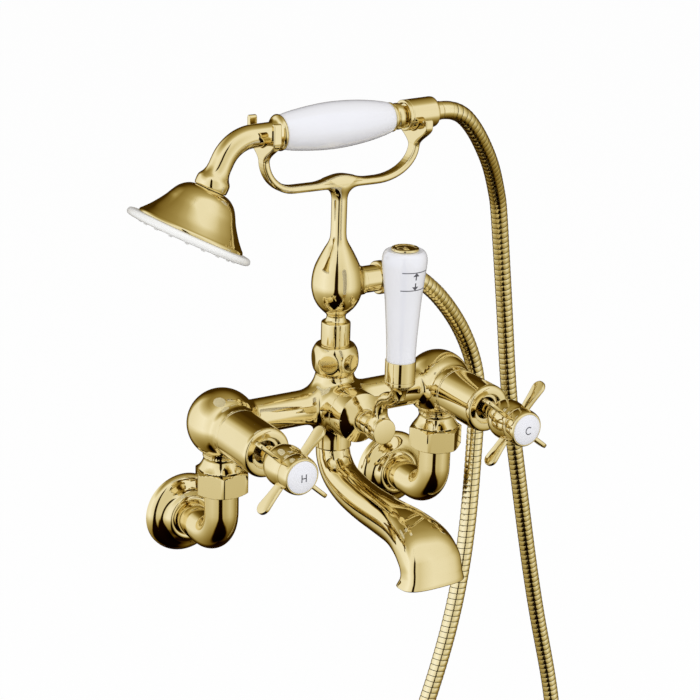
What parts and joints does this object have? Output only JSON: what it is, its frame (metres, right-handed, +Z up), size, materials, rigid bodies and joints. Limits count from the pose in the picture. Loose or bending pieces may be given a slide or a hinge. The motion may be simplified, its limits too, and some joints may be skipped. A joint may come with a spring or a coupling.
{
  "type": "bath shower mixer",
  "caption": "Wall-mounted bath filler with crosshead taps, diverter lever, swept spout and a cradle above holding a telephone-style hand shower on a ribbed metal hose.",
  "frame": {"origin": "on the wall plane, halfway between the axes of the two inlets", "axes": "+Z up, -Y out of the wall towards the user, +X to the user's right"},
  "size_m": [0.4145, 0.217, 0.6962],
  "materials": {
    "gold_plate": "polished gold plate",
    "hose_metal": "polished spiral strip",
    "plain_brass": "machined",
    "white_porcelain": "glossy glaze",
    "white_plastic": "gloss",
    "valve_ceramic": "lapped",
    "black_rubber": "matt"
  },
  "bodies": {
    "mixer": {"wall_flange_left": "gold_plate", "wall_flange_right": "gold_plate", "inlet_elbow_left": "gold_plate", "inlet_elbow_right": "gold_plate", "union_nut_left": "gold_plate", "union_nut_right": "gold_plate", "union_washers": "black_rubber", "body_casting": "gold_plate", "spout": "gold_plate", "column_nut": "gold_plate", "cradle_pillar": "gold_plate", "cradle_yoke": "gold_plate", "hose_outlet": "gold_plate", "bonnet_left": "gold_plate", "bonnet_right": "gold_plate", "cartridge_left": "plain_brass", "cartridge_right": "plain_brass", "seat_discs": "valve_ceramic", "diverter_bonnet": "gold_plate", "diverter_gland": "gold_plate", "shower_hose": "hose_metal", "hose_nut_outlet": "gold_plate", "hose_ferrule_outlet": "gold_plate", "hose_washer_outlet": "black_rubber"},
    "hot_handle": {"hot_spindle": "plain_brass", "hot_disc": "valve_ceramic", "hot_hub": "gold_plate", "hot_blades": "gold_plate", "hot_bezel": "gold_plate", "hot_index": "white_porcelain", "hot_screw": "plain_brass"},
    "cold_handle": {"cold_spindle": "plain_brass", "cold_disc": "valve_ceramic", "cold_hub": "gold_plate", "cold_blades": "gold_plate", "cold_bezel": "gold_plate", "cold_index": "white_porcelain", "cold_screw": "plain_brass"},
    "diverter_lever": {"diverter_spindle": "plain_brass", "lever_arm": "gold_plate", "lever_hub_cap": "gold_plate", "lever_ferrule": "gold_plate", "lever_grip": "white_porcelain", "lever_tie_rod": "plain_brass", "lever_cap": "gold_plate"},
    "handset": {"rose_bell": "gold_plate", "spray_plate": "white_plastic", "spray_nozzles": "white_plastic", "gooseneck": "gold_plate", "handset_collar": "gold_plate", "handset_grip": "white_porcelain", "handset_tube": "plain_brass", "handset_tail": "gold_plate", "hose_nut_handset": "gold_plate", "hose_ferrule_handset": "gold_plate", "hose_washer_handset": "black_rubber"}
  },
  "joints": [
    {"name": "hot_turn", "type": "hinge", "parent": "mixer", "child": "hot_handle", "pos_m": [-0.09, -0.06, 0.0895], "axis": [0, -1, 0], "range_deg": [0, 90]},
    {"name": "cold_turn", "type": "hinge", "parent": "mixer", "child": "cold_handle", "pos_m": [0.09, -0.06, 0.0895], "axis": [0, 1, 0], "range_deg": [0, 90]},
    {"name": "diverter_turn", "type": "hinge", "parent": "mixer", "child": "diverter_lever", "pos_m": [0, -0.06, 0.0895], "axis": [0, -1, 0], "range_deg": [-45, 45]},
    {"name": "handset_lift", "type": "slide", "parent": "mixer", "child": "handset", "axis": [0, 0, 1], "range_m": [0, 0.03], "deforming": ["shower_hose"]}
  ]
}
